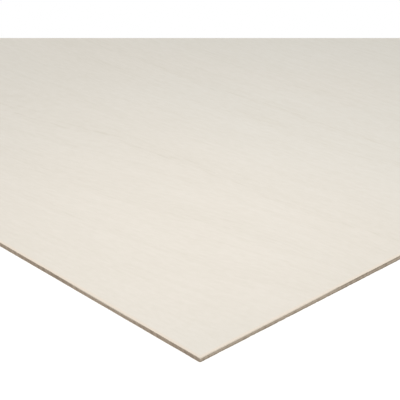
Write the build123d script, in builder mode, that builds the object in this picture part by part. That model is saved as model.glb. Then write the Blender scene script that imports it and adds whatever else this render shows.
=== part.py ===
from build123d import *
import os

# Thin plywood sheet: one sawn panel of stock, lying flat with its better face up.
# The origin is the middle of the underside. X runs along the face grain and Z is up.

# Driving dimensions, in millimetres
sheet_length = 1200.0  # along the face grain
sheet_width = 600.0  # across the face grain
sheet_thickness = 4.0
arris_break = 0.2  # sanding takes this much off every sawn arris

os.makedirs("parts", exist_ok=True)

# The panel is sawn to a rectangle and its arrises are broken all round
with BuildPart() as plywood_sheet:
    with BuildSketch(Plane.XY) as panel_outline:
        Rectangle(sheet_length, sheet_width)
    extrude(amount=sheet_thickness)
    chamfer(plywood_sheet.edges(), length=arris_break)

plywood_sheet.part.label = "plywood_sheet"
export_step(plywood_sheet.part, "parts/plywood_sheet.step")
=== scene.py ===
"""Looks of a thin plywood sheet: sawn ply edges, veneer grain, studio light and camera."""

import math

import bpy
import numpy as np
from mathutils import Matrix, Vector


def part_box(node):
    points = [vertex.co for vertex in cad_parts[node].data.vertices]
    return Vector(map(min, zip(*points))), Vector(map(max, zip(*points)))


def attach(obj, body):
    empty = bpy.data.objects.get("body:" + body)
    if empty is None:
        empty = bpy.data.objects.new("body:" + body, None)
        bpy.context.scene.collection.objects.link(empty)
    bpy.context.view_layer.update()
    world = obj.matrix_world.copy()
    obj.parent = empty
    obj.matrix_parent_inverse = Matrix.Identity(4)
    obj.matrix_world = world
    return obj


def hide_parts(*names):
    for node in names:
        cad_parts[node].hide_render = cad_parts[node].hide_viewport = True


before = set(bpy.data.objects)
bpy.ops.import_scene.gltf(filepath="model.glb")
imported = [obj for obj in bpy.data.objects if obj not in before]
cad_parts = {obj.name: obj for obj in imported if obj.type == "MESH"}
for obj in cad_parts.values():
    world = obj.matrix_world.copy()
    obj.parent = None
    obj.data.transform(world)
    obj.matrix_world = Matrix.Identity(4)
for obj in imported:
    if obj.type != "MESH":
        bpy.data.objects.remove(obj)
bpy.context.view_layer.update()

MM = 0.001

# The sheet's sizes, in metres, from the frame
low_corner, high_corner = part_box("plywood_sheet")
sheet_length, sheet_width, sheet_thickness = high_corner - low_corner
half_length = 0.5 * sheet_length
half_width = 0.5 * sheet_width

# How the near corner shows in the photograph, in pixels of its 400 x 400 frame
photo_side = 400.0
corner_foot_px = (199.9, 362.85)
left_edge_slope = 0.5821
right_edge_slope = 0.5154
edge_thickness_px = 4.65
horizon_row_px = -800.0
top_row_px = 38.0
brightest_row_px = 245.0

# Camera
sensor_width_mm = 36.0
near_clip = 0.05

# Studio light, where a level of 1 shows a colour as it is written
ambient_level = 0.644
lamp_tint = (1.0, 0.905, 0.855)
key_level = 0.420
key_height = 0.60
key_size = (0.30, 0.30)
key_spread = math.radians(180.0)
fill_level = 0.428
fill_spot = (-0.53, 0.20)
fill_height = 0.40
fill_size = (0.80, 1.20)
fill_spread = math.radians(80.0)
floor_side = 80.0
floor_white = 0.80
floor_camera_glow = 0.60

# Three plies: a veneer each side of a core whose grain runs across the sheet
veneer_thickness = 1.15 * MM
glue_line_width = 0.10 * MM
ply_waver = 0.35 * MM
ply_blend = 0.10 * MM
clean_fade = 0.40 * MM

# The face grain runs along X and sways from side to side
sway_reach = 60.0 * MM
sway_length = 1.5
sway_centre = 0.42
# The sway is small at the front edge, grows to its full reach, and eases off towards the middle
sway_front_share = 0.2
sway_full_at = -0.55 * half_width
sway_ease_from = -0.5 * half_width
sway_ease_to = -0.3 * half_width
sway_rear_share = 0.55

# Growth rings: their spacing, by how many spacings they are moved, and how they bend and crowd
ring_spacing = 34.0 * MM
ring_shift = 5.48
ring_bend = 32.0 * MM
ring_ripple = 4.0 * MM
ring_crowding = 2.5
# Between these places along X the rings get clearer, towards the far end of the sheet
clear_from = 20.0 * MM
clear_to = -0.5 * half_length
clear_gain = 2.5

# What darkens the veneer, each by its weight, and the level that the sum has to pass
ring_tone_weight = 0.24
ring_line_weight = 0.55
streak_weight = 0.42
fleck_weight = 0.80
cloud_weight = 0.35
veneer_tone_floor = 0.58
# The slice of soft noise that gives the broad drift of colour, partly the wood's own uneven tone and
# partly painted warm light and cool shade
tint_and_light_layer = 16.47
# Painted highlight along the rim of the faces, where the arris catches the light; the same band marks
# the corners that handling rubs: its least width, how much wider it wanders, and how near the edge it
# is full
highlight_and_rub_least = 2.5 * MM
highlight_and_rub_wander = 3.0 * MM
highlight_and_rub_full = 0.4 * MM
painted_rim_share = 0.85
# Finish of the sanded faces
veneer_roughness = (0.56, 0.70)
veneer_gloss = 0.25
veneer_bump = 0.02 * MM
veneer_bump_strength = 0.35

# What darkens a sawn edge, each by its weight, and the level that the sum has to pass
pore_weight = 0.30
scorch_weight = 0.25
saw_mark_weight = 0.55
edge_streak_weight = 0.25
fresh_weight = -0.16
edge_tone_floor = 0.30
# How the saw marks lean, how far clean stretches wander, and how glue and knocked corners show
saw_lean = 0.25
stretch_wander = 4.0
glue_share = 0.8
knock_from = 0.4 * sheet_thickness
knock_share = 0.6
# Finish of the sawn edges
edge_roughness = (0.74, 0.88)
edge_gloss = 0.2
edge_bump = 0.03 * MM
edge_bump_strength = 0.4

# Relief of the sawn edges
stations_long = 1152
stations_short = 576
arris_size = 0.2 * MM
arris_wander = 0.15 * MM
arris_wave = 14.0 * MM
glue_groove = 0.06 * MM
core_row_share = 0.35
ply_step = 0.03 * MM
ply_step_wave = 80.0 * MM
cross_cut_roughness = 0.07 * MM
long_cut_roughness = 0.03 * MM
roughness_wave = 2.5 * MM
corner_knock = 0.25 * MM
corner_reach = 1.5 * MM
sharp_angle = math.radians(25.0)
relief_seed = 23
# Break-outs along an arris: how many, their widths and their depths
long_edge_chips = (22, (5.0 * MM, 26.0 * MM), (0.06 * MM, 0.22 * MM))
short_edge_chips = (34, (1.6 * MM, 5.0 * MM), (0.12 * MM, 0.5 * MM))

# Rings of points inward from the edges, each with half the points of the one before
rim_inset = 1.2 * MM
inset_growth = 2.0
inset_gap = 0.8 * MM
halvings = 5

# Zones of the surface: the face, the back, then the four edges in turn from the front one
face_zone = 0
back_zone = 1
first_edge_zone = 2
# Each face takes in this many strips of the edge beside it
rim_strips = 2

# Texture map of the sheet, in pixels of a 1024 pixel square
map_side = 1024.0
map_gutter = 4.0
map_edge_height = 40.0
map_face_foot = 160.0


# Node helpers


def add_node(tree, kind, **options):
    """A new shader node of this kind, with its options set."""
    made = tree.nodes.new("ShaderNode" + kind)
    for name, value in options.items():
        setattr(made, name, value)
    return made


def feed(tree, socket, value):
    """Joins an output to the socket, or sets the socket to a plain value."""
    if isinstance(value, bpy.types.NodeSocket):
        tree.links.new(value, socket)
    else:
        socket.default_value = value


def calc(tree, operation, *values, clamp=False):
    """The result of a Math node."""
    made = add_node(tree, "Math", operation=operation, use_clamp=clamp)
    for socket, value in zip(made.inputs, values):
        feed(tree, socket, value)
    return made.outputs[0]


def ramp(tree, value, start, end, low=0.0, high=1.0):
    """A smooth step from low to high as the value goes from start to end."""
    made = add_node(tree, "MapRange", interpolation_type="SMOOTHSTEP")
    feed(tree, made.inputs["Value"], value)
    feed(tree, made.inputs["From Min"], start)
    feed(tree, made.inputs["From Max"], end)
    feed(tree, made.inputs["To Min"], low)
    feed(tree, made.inputs["To Max"], high)
    return made.outputs["Result"]


def axes_of(tree, position):
    """The X, Y and Z of a position."""
    made = add_node(tree, "SeparateXYZ")
    feed(tree, made.inputs[0], position)
    return made.outputs


def point_at(tree, x, y, z):
    """A position from its X, Y and Z."""
    made = add_node(tree, "CombineXYZ")
    for socket, value in zip(made.inputs, (x, y, z)):
        feed(tree, socket, value)
    return made.outputs[0]


def noise(tree, position, cells_per_metre, detail=2.0):
    """Soft noise from 0 to 1, with so many cells a metre along X, Y and Z."""
    scaled = add_node(tree, "VectorMath", operation="MULTIPLY")
    feed(tree, scaled.inputs[0], position)
    feed(tree, scaled.inputs[1], cells_per_metre)
    made = add_node(tree, "TexNoise")
    feed(tree, made.inputs["Vector"], scaled.outputs[0])
    feed(tree, made.inputs["Scale"], 1.0)
    feed(tree, made.inputs["Detail"], detail)
    return made.outputs["Fac"]


def wobble(tree, position, cells_per_metre, detail=2.0):
    """Soft noise about 0, from -0.5 to 0.5."""
    return calc(tree, "SUBTRACT", noise(tree, position, cells_per_metre, detail), 0.5)


def add_up(tree, *terms):
    """The sum of some values, each times its weight."""
    total = 0.0
    for value, weight in terms:
        total = calc(tree, "MULTIPLY_ADD", value, weight, total)
    return total


def blend_colour(tree, share, first, second):
    """The first colour going over to the second as the share goes from 0 to 1."""
    made = add_node(tree, "Mix", data_type="RGBA")
    feed(tree, made.inputs["Factor"], share)
    # The colour sockets come after the number and vector sockets of the same names
    for socket, colour in ((made.inputs[6], first), (made.inputs[7], second)):
        feed(tree, socket, (*colour, 1.0) if isinstance(colour, tuple) else colour)
    return made.outputs[2]


def start_group(name, inputs, outputs):
    """A shader node group that takes a position and some numbers, with the sockets inside it."""
    group = bpy.data.node_groups.new(name, "ShaderNodeTree")
    sides = group.interface
    sides.new_socket(name="Position", in_out="INPUT", socket_type="NodeSocketVector")
    for socket_name in inputs:
        sides.new_socket(name=socket_name, in_out="INPUT", socket_type="NodeSocketFloat")
    for socket_name in outputs:
        sides.new_socket(name=socket_name, in_out="OUTPUT", socket_type="NodeSocketFloat")
    given = group.nodes.new("NodeGroupInput").outputs
    wanted = group.nodes.new("NodeGroupOutput").inputs
    return group, given, wanted


def place(tree, group, **values):
    """Puts a group into a tree with its own values and returns its outputs."""
    made = add_node(tree, "Group", node_tree=group)
    for name, value in values.items():
        feed(tree, made.inputs[name], value)
    return made.outputs


# Wood effects. A drift moves an effect's pattern, so that each material has its own


def follow_grain(tree, position, drift):
    """A position turned with the face grain: X runs along it and Y lies across it."""
    x, y, z = axes_of(tree, position)
    along = calc(tree, "ADD", x, drift)
    turn = calc(tree, "SUBTRACT", along, sway_centre)
    wave = calc(tree, "SINE", calc(tree, "MULTIPLY", turn, 2 * math.pi / sway_length))
    grown = ramp(tree, y, -half_width, sway_full_at, sway_front_share * sway_reach, sway_reach)
    eased = ramp(tree, y, sway_ease_from, sway_ease_to, 1.0, sway_rear_share)
    swing = calc(tree, "MULTIPLY", wave, calc(tree, "MULTIPLY", grown, eased))
    straight = calc(tree, "SUBTRACT", y, swing)
    return point_at(tree, along, straight, z)


def make_growth_rings():
    """The figure of peeled veneer: growth rings that come and go along the sheet."""
    tree, given, wanted = start_group("growth_rings", ("Drift", "Spacing", "Shift"), ("Tone", "Line"))
    grain = follow_grain(tree, given["Position"], given["Drift"])
    _, across, _ = axes_of(tree, grain)
    bent = calc(tree, "MULTIPLY_ADD", wobble(tree, grain, (13.0, 8.0, 1.0)), ring_bend, across)
    bent = calc(tree, "MULTIPLY_ADD", wobble(tree, grain, (60.0, 150.0, 1.0), 4.0), ring_ripple, bent)
    uneven = noise(tree, point_at(tree, bent, given["Drift"], 0.0), (14.0, 1.0, 1.0))
    count = calc(tree, "DIVIDE", bent, given["Spacing"])
    count = calc(tree, "MULTIPLY_ADD", uneven, ring_crowding, count)
    count = calc(tree, "SUBTRACT", given["Shift"], count)
    # Each ring has a strength of its own. It darkens across its width and then ends
    part = calc(tree, "FRACT", count)
    own = add_node(tree, "TexWhiteNoise", noise_dimensions="1D")
    feed(tree, own.inputs["W"], calc(tree, "FLOOR", count))
    strength = calc(tree, "POWER", own.outputs["Value"], 2.0)
    gone = ramp(tree, part, 0.72, 1.0, 1.0, 0.0)
    swell = calc(tree, "MULTIPLY", calc(tree, "POWER", part, 1.5), gone)
    line = calc(tree, "MULTIPLY", ramp(tree, part, 0.35, 0.80), gone)
    dashes = ramp(tree, noise(tree, grain, (42.0, 420.0, 1.0), 3.0), 0.50, 0.68)
    line = calc(tree, "MULTIPLY", calc(tree, "MULTIPLY", line, dashes), strength)
    feed(tree, wanted["Tone"], calc(tree, "MULTIPLY", swell, strength))
    feed(tree, wanted["Line"], line)
    return tree


def make_wood_fibre():
    """Streaks and short flecks drawn out along the grain."""
    tree, given, wanted = start_group("wood_fibre", ("Drift",), ("Streak", "Fleck", "Height"))
    grain = follow_grain(tree, given["Position"], given["Drift"])
    feed(tree, wanted["Streak"], noise(tree, grain, (16.0, 260.0, 260.0), 3.0))
    feed(tree, wanted["Fleck"], noise(tree, grain, (150.0, 380.0, 380.0), 4.0))
    feed(tree, wanted["Height"], noise(tree, grain, (60.0, 2600.0, 2600.0), 2.0))
    return tree


def make_soft_cloud():
    """Soft patches, as uneven drying leaves on bare wood, and a broad drift of its colour that also
    paints warm light and cool shade.
    """
    tree, given, wanted = start_group("soft_cloud", ("Drift", "Layer"), ("Cloud", "Tint And Light"))
    grain = follow_grain(tree, given["Position"], given["Drift"])
    feed(tree, wanted["Cloud"], noise(tree, grain, (9.0, 22.0, 60.0), 4.0))
    along, across, _ = axes_of(tree, grain)
    broad = point_at(tree, along, across, given["Layer"])
    feed(tree, wanted["Tint And Light"], ramp(tree, noise(tree, broad, (1.8, 3.6, 1.0), 2.0), 0.36, 0.64))
    return tree


def make_handled_rim():
    """Nearness to the sheet's edges, where the faces carry a painted highlight, and to its corners,
    which handling rubs first.
    """
    tree, given, wanted = start_group("painted_rim_and_worn_corner", (), ("Rim", "Corner"))
    x, y, _ = axes_of(tree, given["Position"])
    wander = noise(tree, given["Position"], (40.0, 40.0, 1.0), 3.0)
    wide = calc(tree, "MULTIPLY_ADD", wander, highlight_and_rub_wander, highlight_and_rub_least)
    near = []
    for from_middle, half in ((x, half_length), (y, half_width)):
        gap = calc(tree, "SUBTRACT", half, calc(tree, "ABSOLUTE", from_middle))
        near.append(ramp(tree, gap, wide, highlight_and_rub_full))
    feed(tree, wanted["Rim"], calc(tree, "MAXIMUM", *near))
    feed(tree, wanted["Corner"], calc(tree, "MINIMUM", *near))
    return tree


def make_ply_bands():
    """Where the plies and glue lines lie on a sawn edge. X runs along the edge and Z is up."""
    tree, given, wanted = start_group(
        "ply_bands", ("Drift", "Stretch"), ("Core", "Glue", "Top", "Fresh")
    )
    x, _, z = axes_of(tree, given["Position"])
    along = point_at(tree, x, given["Drift"], 0.0)
    height = calc(tree, "MULTIPLY_ADD", wobble(tree, along, (30.0, 1.0, 1.0), 3.0), ply_waver, z)
    from_middle = calc(tree, "ABSOLUTE", calc(tree, "SUBTRACT", height, 0.5 * sheet_thickness))
    half_core = 0.5 * sheet_thickness - veneer_thickness
    from_glue = calc(tree, "ABSOLUTE", calc(tree, "SUBTRACT", from_middle, half_core))
    feed(tree, wanted["Core"], ramp(tree, from_middle, half_core + ply_blend, half_core - ply_blend))
    feed(tree, wanted["Glue"], ramp(tree, from_glue, glue_line_width, 0.3 * glue_line_width))
    top_glue = sheet_thickness - veneer_thickness
    feed(tree, wanted["Top"], ramp(tree, height, top_glue, top_glue + clean_fade))
    # Stretches where the saw left the top veneer clean and pale, with duller ones between them
    turn_per_metre = calc(tree, "DIVIDE", math.pi, given["Stretch"])
    turn = calc(tree, "MULTIPLY_ADD", x, turn_per_metre, given["Drift"])
    turn = calc(tree, "MULTIPLY_ADD", noise(tree, along, (6.0, 1.0, 1.0)), stretch_wander, turn)
    feed(tree, wanted["Fresh"], ramp(tree, calc(tree, "SINE", turn), -0.4, 0.8))
    return tree


def make_end_grain():
    """Cut fibre ends: fine pores, with the saw's marks and scorching across them."""
    tree, given, wanted = start_group("end_grain", ("Drift",), ("Pore", "Saw Mark", "Scorch"))
    x, y, z = axes_of(tree, given["Position"])
    along = point_at(tree, calc(tree, "ADD", x, given["Drift"]), y, z)
    pores = noise(tree, along, (1800.0, 1800.0, 2600.0), 2.0)
    feed(tree, wanted["Pore"], ramp(tree, pores, 0.42, 0.60, 1.0, 0.0))
    lean = calc(tree, "MULTIPLY_ADD", z, saw_lean, x)
    marks = noise(tree, point_at(tree, lean, given["Drift"], 0.0), (300.0, 1.0, 1.0), 3.0)
    feed(tree, wanted["Saw Mark"], ramp(tree, marks, 0.30, 0.70))
    feed(tree, wanted["Scorch"], noise(tree, along, (24.0, 24.0, 120.0), 3.0))
    return tree


# Materials


def start_material(name):
    """A material with its shader and the place on the sheet that its patterns follow."""
    made = bpy.data.materials.new(name)
    made.use_nodes = True
    tree = made.node_tree
    shader = tree.nodes["Principled BSDF"]
    return made, tree, shader, add_node(tree, "TexCoord").outputs["Object"]


def add_bump(tree, shader, height, depth, strength):
    """Raises the surface by a height map, at most so many metres."""
    bump = add_node(tree, "Bump")
    feed(tree, bump.inputs["Height"], height)
    feed(tree, bump.inputs["Distance"], depth)
    feed(tree, bump.inputs["Strength"], strength)
    feed(tree, shader.inputs["Normal"], bump.outputs["Normal"])


def make_veneer(name, drift, figure, pale, rosy_and_lamp_warmed, dark, painted_rim_colour):
    """A sanded veneer face: pale bare wood with faint swaying grain."""
    made, tree, shader, position = start_material(name)
    rings = place(
        tree, growth_rings, Position=position, Drift=drift, Spacing=ring_spacing, Shift=ring_shift
    )
    fibre = place(tree, wood_fibre, Position=position, Drift=drift)
    patches = place(tree, soft_cloud, Position=position, Drift=drift, Layer=tint_and_light_layer)
    rim_light_and_wear = place(tree, painted_rim_and_worn_corner, Position=position)
    x, _, _ = axes_of(tree, position)
    bold = ramp(tree, x, clear_from, clear_to, figure, clear_gain * figure)
    ring_tone = add_up(tree, (rings["Tone"], ring_tone_weight), (rings["Line"], ring_line_weight))
    tone = add_up(
        tree,
        (ring_tone, bold),
        (fibre["Streak"], streak_weight),
        (fibre["Fleck"], fleck_weight),
        (patches["Cloud"], cloud_weight),
    )
    tone = calc(tree, "SUBTRACT", tone, veneer_tone_floor, clamp=True)
    # Broad drift from pale to rosy: partly the wood's own tone, partly painted warm light and cool
    # shade
    wood = blend_colour(tree, patches["Tint And Light"], pale, rosy_and_lamp_warmed)
    wood = blend_colour(tree, tone, wood, dark)
    # Painted highlight: the face is paler along its rim, where the arris catches the light
    wood = blend_colour(tree, calc(tree, "MULTIPLY", rim_light_and_wear["Rim"], painted_rim_share), wood, painted_rim_colour)
    feed(tree, shader.inputs["Base Color"], wood)
    feed(tree, shader.inputs["Roughness"], ramp(tree, fibre["Streak"], 0.2, 0.8, *veneer_roughness))
    feed(tree, shader.inputs["Specular IOR Level"], veneer_gloss)
    add_bump(tree, shader, fibre["Height"], veneer_bump, veneer_bump_strength)
    return made


def make_ply_edge(name, drift, runs_along_x, stretch, veneer, core, glue, fresh):
    """A sawn edge: plies that show fibre ends or long grain, and thin glue lines."""
    made, tree, shader, position = start_material(name)
    x, y, z = axes_of(tree, position)
    edge = position if runs_along_x else point_at(tree, y, x, z)
    bands = place(tree, ply_bands, Position=edge, Drift=drift, Stretch=stretch)
    ends = place(tree, end_grain, Position=edge, Drift=drift)
    fibre = place(tree, wood_fibre, Position=edge, Drift=drift)
    rim_light_and_wear = place(tree, painted_rim_and_worn_corner, Position=position)
    plies = blend_colour(tree, bands["Core"], veneer, core)
    plies = blend_colour(tree, calc(tree, "MULTIPLY", bands["Glue"], glue_share), plies, glue)
    clean = calc(tree, "MULTIPLY", bands["Fresh"], bands["Top"])
    knocked = ramp(tree, z, knock_from, sheet_thickness, 0.0, knock_share)
    clean = calc(tree, "MAXIMUM", clean, calc(tree, "MULTIPLY", rim_light_and_wear["Corner"], knocked))
    cross_cut = bands["Core"] if runs_along_x else calc(tree, "SUBTRACT", 1.0, bands["Core"])
    pitted = calc(tree, "MULTIPLY", ends["Pore"], cross_cut)
    tone = add_up(
        tree,
        (pitted, pore_weight),
        (ramp(tree, ends["Scorch"], 0.45, 0.75), scorch_weight),
        (ends["Saw Mark"], saw_mark_weight),
        (fibre["Streak"], edge_streak_weight),
        (bands["Fresh"], fresh_weight),
    )
    tone = calc(tree, "SUBTRACT", tone, edge_tone_floor, clamp=True)
    wood = blend_colour(tree, tone, plies, glue)
    wood = blend_colour(tree, clean, wood, fresh)
    feed(tree, shader.inputs["Base Color"], wood)
    feed(tree, shader.inputs["Roughness"], ramp(tree, pitted, 0.0, 1.0, *edge_roughness))
    feed(tree, shader.inputs["Specular IOR Level"], edge_gloss)
    cut = calc(tree, "ADD", ends["Saw Mark"], pitted)
    add_bump(tree, shader, cut, edge_bump, edge_bump_strength)
    return made


# The sheet's mesh


def ripple(rng, count, step, wavelength):
    """Smooth random values from 0 to 1, one for each station along a side."""
    knots = max(int(count * step / wavelength), 2)
    heights = rng.uniform(0.0, 1.0, knots + 2)
    at = np.linspace(0.0, knots, count + 1)
    low = np.floor(at).astype(int)
    share = at - low
    share = share * share * (3.0 - 2.0 * share)
    return heights[low] * (1.0 - share) + heights[low + 1] * share


def chips(rng, count, step, number, widths, depths):
    """Depths of small break-outs along a side, one value for each station."""
    places = np.arange(count + 1) * step
    found = np.zeros(count + 1)
    for centre in rng.uniform(0.0, count * step, number):
        half = 0.5 * rng.uniform(*widths)
        deep = rng.uniform(*depths)
        near = np.clip(1.0 - np.abs(places - centre) / half, 0.0, 1.0)
        found = np.maximum(found, deep * near * (2.0 - near))
    return found


def edge_rows():
    """Rows of the edge from the face to the underside: kind, height and inset from the box."""
    top, half_glue = sheet_thickness, 0.5 * glue_line_width
    upper, lower = top - veneer_thickness, veneer_thickness
    core = upper - lower
    return (
        ("rim", top, rim_inset),
        ("arris", top, arris_size),
        ("veneer", top - arris_size, 0.0),
        ("veneer", top - 0.5 * veneer_thickness, 0.0),
        ("veneer", upper + half_glue, 0.0),
        ("glue", upper, glue_groove),
        ("core", upper - half_glue, 0.0),
        ("core", upper - core_row_share * core, 0.0),
        ("core", lower + core_row_share * core, 0.0),
        ("core", lower + half_glue, 0.0),
        ("glue", lower, glue_groove),
        ("veneer", lower - half_glue, 0.0),
        ("veneer", 0.5 * veneer_thickness, 0.0),
        ("veneer", arris_size, 0.0),
        ("arris", 0.0, arris_size),
        ("rim", 0.0, rim_inset),
    )


def side_insets(rng, count, step, cuts_veneer_ends):
    """How far each row of one side lies in from the box at each station."""
    if cuts_veneer_ends:
        broken = chips(rng, count, step, *short_edge_chips)
        rough = {"veneer": cross_cut_roughness, "core": long_cut_roughness}
    else:
        broken = chips(rng, count, step, *long_edge_chips)
        rough = {"veneer": long_cut_roughness, "core": cross_cut_roughness}
    # The underside's break-outs are the face's, turned end for end and moved on by a third
    broken_below = np.roll(broken[::-1], count // 3)
    stepped = {kind: ripple(rng, count, step, ply_step_wave) for kind in rough}
    rows = edge_rows()
    made = []
    for kind, height, inset in rows:
        depth = np.full(count + 1, inset)
        if kind in rough:
            depth += ply_step * stepped[kind]
            depth += rough[kind] * ripple(rng, count, step, roughness_wave)
        if kind == "arris":
            depth += arris_wander * ripple(rng, count, step, arris_wave)
        if kind in ("arris", "veneer"):
            is_upper = height > 0.5 * sheet_thickness
            from_face = sheet_thickness - height if is_upper else height
            fade = max(1.0 - from_face / veneer_thickness, 0.0)
            depth += fade * (broken if is_upper else broken_below)
        made.append(depth)
    made = np.array(made)
    # The proudest point of the cut lies on the box
    flats = [index for index, row in enumerate(rows) if row[0] in rough]
    made[flats] -= made[flats].min()
    from_end = np.arange(count + 1) * step
    from_end = np.minimum(from_end, from_end[::-1])
    return made + corner_knock * np.clip(1.0 - from_end / corner_reach, 0.0, 1.0) ** 2


def edge_loops():
    """Points of every edge row round the sheet, and the side that each station is on."""
    rng = np.random.default_rng(relief_seed)
    # Each side's stations, the ways it runs and faces, and half its length and half the sheet across it
    sides = (
        (stations_long, (1, 0), (0, -1), half_length, half_width),
        (stations_short, (0, 1), (1, 0), half_width, half_length),
        (stations_long, (-1, 0), (0, 1), half_length, half_width),
        (stations_short, (0, -1), (-1, 0), half_width, half_length),
    )
    insets = []
    for count, along, _, half_along, _ in sides:
        insets.append(side_insets(rng, count, 2.0 * half_along / count, along[0] == 0))
    for index, depth in enumerate(insets):
        # Two sides share the points of the corner between them
        following = insets[(index + 1) % len(sides)]
        depth[:, -1] = 0.5 * (depth[:, -1] + following[:, 0])
        following[:, 0] = depth[:, -1]
    heights = np.array([height for _, height, _ in edge_rows()])
    loops = []
    for depth, (count, along, outward, half_along, half_across) in zip(insets, sides):
        depth = depth[:, :-1]
        run = np.linspace(-1.0, 1.0, count + 1)[:-1] * (half_along - depth)
        out = half_across - depth
        points = np.empty((*depth.shape, 3))
        points[..., 0] = run * along[0] + out * outward[0]
        points[..., 1] = run * along[1] + out * outward[1]
        points[..., 2] = heights[:, None]
        loops.append(points)
    side_of = np.repeat(np.arange(len(sides)), [side[0] for side in sides])
    return np.concatenate(loops, axis=1), side_of


class SheetMesh:
    """Points and faces of the sheet, with the zone of the surface that each face is in."""

    def __init__(self):
        self.points, self.faces, self.zones = [], [], []

    def add_points(self, points):
        first = len(self.points)
        self.points.extend(points.tolist())
        return np.arange(first, first + len(points))

    def add_face(self, corners, zone):
        self.faces.append([int(corner) for corner in corners])
        self.zones.append(int(zone))

    def add_edges(self):
        """The four sawn edges, with the rims of both faces. Returns the two rims' points."""
        loops, side_of = edge_loops()
        rows = [self.add_points(row) for row in loops]
        strips = len(rows) - 1
        for strip, (upper, lower) in enumerate(zip(rows, rows[1:])):
            zones = first_edge_zone + side_of
            if strip < rim_strips:
                zones = np.full_like(side_of, face_zone)
            elif strip >= strips - rim_strips:
                zones = np.full_like(side_of, back_zone)
            corners = np.stack([upper, lower, np.roll(lower, -1), np.roll(upper, -1)], 1)
            for quad, zone in zip(corners, zones):
                self.add_face(quad, zone)
        return rows[0], rows[-1]

    def fill_face(self, outer, height, zone):
        """Fills a face from its rim: each ring inward has half the points, then comes a grid."""
        long_count, short_count = stations_long, stations_short
        inset = rim_inset
        turn = 1 if zone == face_zone else -1
        for _ in range(halvings):
            inset = inset_growth * inset + inset_gap
            long_count, short_count = long_count // 2, short_count // 2
            x, y = half_length - inset, half_width - inset
            xs = np.linspace(-x, x, long_count + 1)[:-1]
            ys = np.linspace(-y, y, short_count + 1)[:-1]
            ring = [(at, -y, height) for at in xs] + [(x, at, height) for at in ys]
            ring += [(-at, y, height) for at in xs] + [(-x, -at, height) for at in ys]
            inner = self.add_points(np.array(ring))
            for at, here in enumerate(inner):
                after = inner[(at + 1) % len(inner)]
                first, second = outer[2 * at], outer[2 * at + 1]
                third = outer[(2 * at + 2) % len(outer)]
                for corners in ((first, second, here), (second, third, after), (second, after, here)):
                    self.add_face(corners[::turn], zone)
            outer = inner
        grid = np.empty((short_count + 1, long_count + 1), int)
        round_again = np.append(outer, outer[0])
        corner_at = np.cumsum([long_count, short_count, long_count, short_count])
        grid[0, :] = round_again[: corner_at[0] + 1]
        grid[:, -1] = round_again[corner_at[0] : corner_at[1] + 1]
        grid[-1, ::-1] = round_again[corner_at[1] : corner_at[2] + 1]
        grid[::-1, 0] = round_again[corner_at[2] :]
        xs = np.linspace(-x, x, long_count + 1)[1:-1]
        ys = np.linspace(-y, y, short_count + 1)[1:-1]
        inside = np.array([(across, up, height) for up in ys for across in xs])
        grid[1:-1, 1:-1] = self.add_points(inside).reshape(short_count - 1, long_count - 1)
        for row, above in zip(grid, grid[1:]):
            for corners in zip(row, row[1:], above[1:], above):
                self.add_face(corners[::turn], zone)


def map_islands():
    """For each zone: its left, foot, width and height on the map, and what runs across and up it."""
    half = 0.5 * map_side
    wide, narrow = map_side - 2 * map_gutter, half - 1.5 * map_gutter
    second = half + 0.5 * map_gutter
    tall = map_side - map_gutter - map_face_foot
    step = map_edge_height + 1.5 * map_gutter
    rows = [map_gutter + index * step for index in range(3)]
    return (
        (map_gutter, map_face_foot, narrow, tall, (1, -1), 0),
        (second, map_face_foot, narrow, tall, (1, 1), 0),
        (map_gutter, rows[0], wide, map_edge_height, (0, 1), 2),
        (map_gutter, rows[1], narrow, map_edge_height, (1, 1), 2),
        (map_gutter, rows[2], wide, map_edge_height, (0, -1), 2),
        (second, rows[1], narrow, map_edge_height, (1, -1), 2),
    )


def lay_out_map(mesh, points, faces, zones):
    """Gives the mesh a texture map with one island for each zone."""
    low = np.array([-half_length, -half_width, 0.0])
    parts = (np.array(points) - low) / np.array([sheet_length, sheet_width, sheet_thickness])
    islands = map_islands()
    spots = []
    for corners, zone in zip(faces, zones):
        left, foot, width, height, (across, turn), up = islands[zone]
        share = parts[corners, across]
        share = share if turn > 0 else 1.0 - share
        spots.append(np.stack([left + width * share, foot + height * parts[corners, up]], 1))
    spots = np.concatenate(spots) / map_side
    mesh.uv_layers.new(name="OFBake").data.foreach_set("uv", spots.astype(np.float32).ravel())


def build_sheet(materials):
    """The sheet as one closed mesh, with a material for each kind of surface."""
    made = SheetMesh()
    face_rim, back_rim = made.add_edges()
    made.fill_face(face_rim, sheet_thickness, face_zone)
    made.fill_face(back_rim, 0.0, back_zone)
    mesh = bpy.data.meshes.new("sawn_sheet")
    mesh.from_pydata(made.points, [], made.faces)
    for material in materials:
        mesh.materials.append(material)
    # Opposite edges share a material
    slots = [zone if zone < len(materials) else zone - 2 for zone in made.zones]
    mesh.polygons.foreach_set("material_index", slots)
    lay_out_map(mesh, made.points, made.faces, made.zones)
    mesh.shade_smooth()
    mesh.set_sharp_from_angle(angle=sharp_angle)
    sheet = bpy.data.objects.new("sawn_sheet", mesh)
    bpy.context.scene.collection.objects.link(sheet)
    return sheet


# Camera, floor and light


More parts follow.
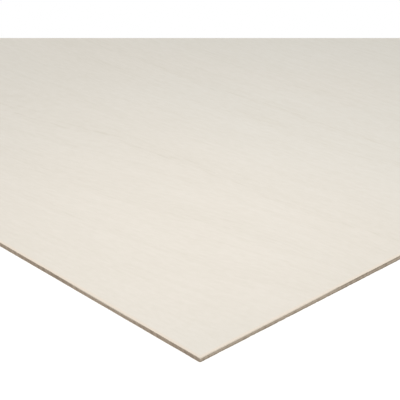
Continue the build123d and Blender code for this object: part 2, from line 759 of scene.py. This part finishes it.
class PhotoView:
    """The camera that shows the near corner as the photograph does."""

    def __init__(self):
        self.middle = 0.5 * photo_side
        foot_x, foot_y = corner_foot_px
        rise = foot_y - horizon_row_px
        left_vanishing = foot_x - rise / left_edge_slope - self.middle
        right_vanishing = foot_x + rise / right_edge_slope - self.middle
        lift = self.middle - horizon_row_px
        self.focal = math.sqrt(-left_vanishing * right_vanishing - lift * lift)
        tilt = math.atan2(lift, self.focal)
        # The left edge runs along -X, so the camera looks that way, turned by its vanishing point
        heading = math.pi + math.atan2(left_vanishing, self.focal / math.cos(tilt))
        ahead = Vector((math.cos(heading), math.sin(heading), 0.0))
        level_up = Vector((0.0, 0.0, 1.0))
        self.right = ahead.cross(level_up)
        self.forward = ahead * math.cos(tilt) - level_up * math.sin(tilt)
        self.up = ahead * math.sin(tilt) + level_up * math.cos(tilt)
        # The edge's height in pixels gives the corner's depth
        arris_drop = foot_y - edge_thickness_px - self.middle
        reach = self.focal * math.cos(tilt) - arris_drop * math.sin(tilt)
        depth = sheet_thickness * reach / edge_thickness_px
        corner_foot = Vector((high_corner.x, low_corner.y, low_corner.z))
        self.position = corner_foot - self.sight(corner_foot_px) * (depth / self.focal)

    def sight(self, pixel):
        """The line of sight through a pixel, one focal length deep."""
        across, down = pixel[0] - self.middle, pixel[1] - self.middle
        return self.right * across - self.up * down + self.forward * self.focal

    def on_face(self, row):
        """The point of the sheet's face that shows in the middle of a row, and its depth."""
        sight = self.sight((self.middle, row))
        share = (high_corner.z - self.position.z) / sight.z
        return self.position + sight * share, share * self.focal


def add_camera(view):
    """The camera. Its view ends at a level row, as the photograph's picture area does."""
    data = bpy.data.cameras.new("photo_camera")
    data.sensor_width = sensor_width_mm
    data.lens = view.focal / photo_side * sensor_width_mm
    data.clip_start = near_clip
    _, data.clip_end = view.on_face(top_row_px)
    camera = bpy.data.objects.new("photo_camera", data)
    axes = Matrix((view.right, view.up, -view.forward)).transposed().to_4x4()
    camera.matrix_world = Matrix.Translation(view.position) @ axes
    bpy.context.scene.collection.objects.link(camera)
    bpy.context.scene.camera = camera


def seen_directly(tree):
    """1 for what the camera sees, also by gloss or through glass, and 0 for light on the sheet."""
    path = add_node(tree, "LightPath")
    seen = calc(tree, "MAXIMUM", path.outputs["Is Camera Ray"], path.outputs["Is Glossy Ray"])
    return calc(tree, "MAXIMUM", seen, path.outputs["Is Transmission Ray"])


def light_the_room():
    """Even light from all round, with white behind the sheet."""
    world = bpy.data.worlds.new("white_room")
    world.use_nodes = True
    tree = world.node_tree
    background = tree.nodes["Background"]
    background.inputs["Color"].default_value = (1.0, 1.0, 1.0, 1.0)
    strength = calc(tree, "MAXIMUM", seen_directly(tree), ambient_level)
    feed(tree, background.inputs["Strength"], strength)
    bpy.context.scene.world = world


def add_softbox(name, spot, level, height, size, spread):
    """A soft lamp over a spot of the face. Its level is that of a small bare lamp of its power."""
    data = bpy.data.lights.new(name, "AREA")
    data.shape = "RECTANGLE"
    data.size, data.size_y = size
    data.spread = spread
    data.color = lamp_tint
    data.energy = level * math.pi**2 * height**2
    softbox = bpy.data.objects.new(name, data)
    softbox.location = spot + Vector((0.0, 0.0, height))
    softbox.visible_camera = False
    bpy.context.scene.collection.objects.link(softbox)


def add_floor():
    """A white floor that keeps the sheet's shadow."""
    half = 0.5 * floor_side
    corners = [(-half, -half), (half, -half), (half, half), (-half, half)]
    mesh = bpy.data.meshes.new("floor")
    mesh.from_pydata([(x, y, low_corner.z) for x, y in corners], [], [(0, 1, 2, 3)])
    material, tree, shader, _ = start_material("white_floor")
    shader.inputs["Base Color"].default_value = (floor_white, floor_white, floor_white, 1.0)
    shader.inputs["Roughness"].default_value = 1.0
    shader.inputs["Specular IOR Level"].default_value = 0.0
    shader.inputs["Emission Color"].default_value = (1.0, 1.0, 1.0, 1.0)
    glow = calc(tree, "MULTIPLY", seen_directly(tree), floor_camera_glow)
    feed(tree, shader.inputs["Emission Strength"], glow)
    mesh.materials.append(material)
    floor = bpy.data.objects.new("floor", mesh)
    bpy.context.scene.collection.objects.link(floor)


growth_rings = make_growth_rings()
wood_fibre = make_wood_fibre()
soft_cloud = make_soft_cloud()
painted_rim_and_worn_corner = make_handled_rim()
ply_bands = make_ply_bands()
end_grain = make_end_grain()

face_veneer = make_veneer(
    "face_veneer",
    drift=0.0,
    figure=1.0,
    pale=(0.8185, 0.8045, 0.740),
    rosy_and_lamp_warmed=(0.826, 0.800, 0.729),
    dark=(0.740, 0.715, 0.633),
    painted_rim_colour=(0.848, 0.768, 0.655),
)
back_veneer = make_veneer(
    "back_veneer",
    drift=0.55,
    figure=1.3,
    pale=(0.800, 0.765, 0.670),
    rosy_and_lamp_warmed=(0.815, 0.760, 0.675),
    dark=(0.705, 0.655, 0.550),
    painted_rim_colour=(0.815, 0.745, 0.640),
)
long_edge_plies = make_ply_edge(
    "long_edge_plies",
    drift=3.1,
    runs_along_x=True,
    stretch=0.10,
    veneer=(0.56, 0.468, 0.365),
    core=(0.525, 0.436, 0.343),
    glue=(0.26, 0.20, 0.15),
    fresh=(0.76, 0.69, 0.58),
)
short_edge_plies = make_ply_edge(
    "short_edge_plies",
    drift=34.2,
    runs_along_x=False,
    stretch=0.30,
    veneer=(0.50, 0.434, 0.339),
    core=(0.585, 0.499, 0.394),
    glue=(0.28, 0.22, 0.165),
    fresh=(0.90, 0.815, 0.69),
)

sheet = build_sheet((face_veneer, back_veneer, long_edge_plies, short_edge_plies))
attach(sheet, "root")
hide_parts("plywood_sheet")

bpy.context.scene.view_settings.view_transform = "Standard"
photo_view = PhotoView()
key_spot, _ = photo_view.on_face(brightest_row_px)
add_camera(photo_view)
light_the_room()
add_softbox("key_softbox", key_spot, key_level, key_height, key_size, key_spread)
fill_spot_on_face = Vector((*fill_spot, high_corner.z))
add_softbox("fill_softbox", fill_spot_on_face, fill_level, fill_height, fill_size, fill_spread)
add_floor()
